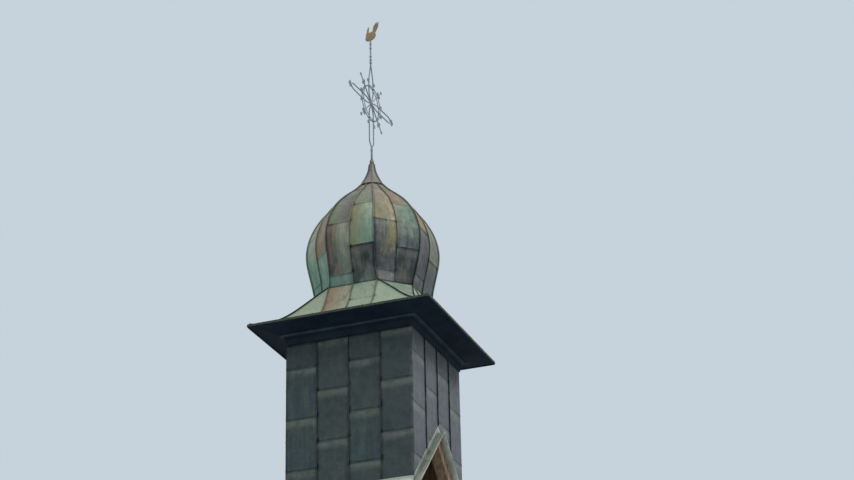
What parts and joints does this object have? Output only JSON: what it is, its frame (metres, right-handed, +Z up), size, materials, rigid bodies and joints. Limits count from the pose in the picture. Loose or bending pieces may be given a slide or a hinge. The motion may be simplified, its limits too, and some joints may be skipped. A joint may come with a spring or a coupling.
{
  "type": "church roof turret with onion dome and weathercock",
  "caption": "Copper-clad roof turret that straddles a ridge: square shaft, moulded cornice, flared skirt roof, octagonal onion dome, iron cross and turning weathercock.",
  "frame": {"origin": "centre of the level foot, under the axis of the dome", "axes": "+Z up along the axis of the dome, -Y the front face, X along the ridge that the turret stands astride"},
  "size_m": [3.464, 3.464, 10.1643],
  "materials": {
    "boarding": "sawn boards",
    "cap_copper": "brown patina",
    "cock_gilding": "worn gilding on sheet",
    "cornice_paint": "dark sheet-clad moulding",
    "drip_copper": "dark green patina",
    "flashing_copper": "pale green patina",
    "oak_frame": "rough sawn, weathered",
    "onion_copper": "mottled green, brown and slate patina",
    "shaft_copper": "dark brown-green patina on copper sheet",
    "skirt_copper": "pale green patina",
    "wrought_iron": "forged bar, grey paint"
  },
  "bodies": {
    "turret": {"boarding_back": "boarding", "boarding_front": "boarding", "boarding_left_back": "boarding", "boarding_left_front": "boarding", "boarding_right_back": "boarding", "boarding_right_front": "boarding", "centre_studs": "oak_frame", "copper_back": "shaft_copper", "copper_front": "shaft_copper", "copper_left": "shaft_copper", "copper_right": "shaft_copper", "corner_posts": "oak_frame", "cornice_back": "cornice_paint", "cornice_front": "cornice_paint", "cornice_left": "cornice_paint", "cornice_right": "cornice_paint", "cross_frame": "wrought_iron", "cross_rings": "wrought_iron", "dome_deck": "boarding", "drip_edge": "drip_copper", "flashing_back": "flashing_copper", "flashing_front": "flashing_copper", "flashing_left": "flashing_copper", "flashing_right": "flashing_copper", "king_post": "oak_frame", "knob": "cap_copper", "long_head_plates": "oak_frame", "mast": "wrought_iron", "onion_back": "onion_copper", "onion_back_left": "onion_copper", "onion_back_right": "onion_copper", "onion_cap": "cap_copper", "onion_front": "onion_copper", "onion_front_left": "onion_copper", "onion_front_right": "onion_copper", "onion_left": "onion_copper", "onion_right": "onion_copper", "onion_seams": "onion_copper", "saddle_rails": "oak_frame", "short_head_plates": "oak_frame", "sills": "oak_frame", "skirt_back": "skirt_copper", "skirt_corners": "skirt_copper", "skirt_front": "skirt_copper", "skirt_left": "skirt_copper", "skirt_right": "skirt_copper", "skirt_seams": "skirt_copper", "spindle": "wrought_iron", "tie_beams": "oak_frame"},
    "weathercock": {"weathercock": "cock_gilding"}
  },
  "joints": [
    {"name": "weathercock_turn", "type": "hinge", "parent": "turret", "child": "weathercock", "pos_m": [0, 0, 9.79264], "axis": [0, 0, 1], "continuous": true}
  ]
}
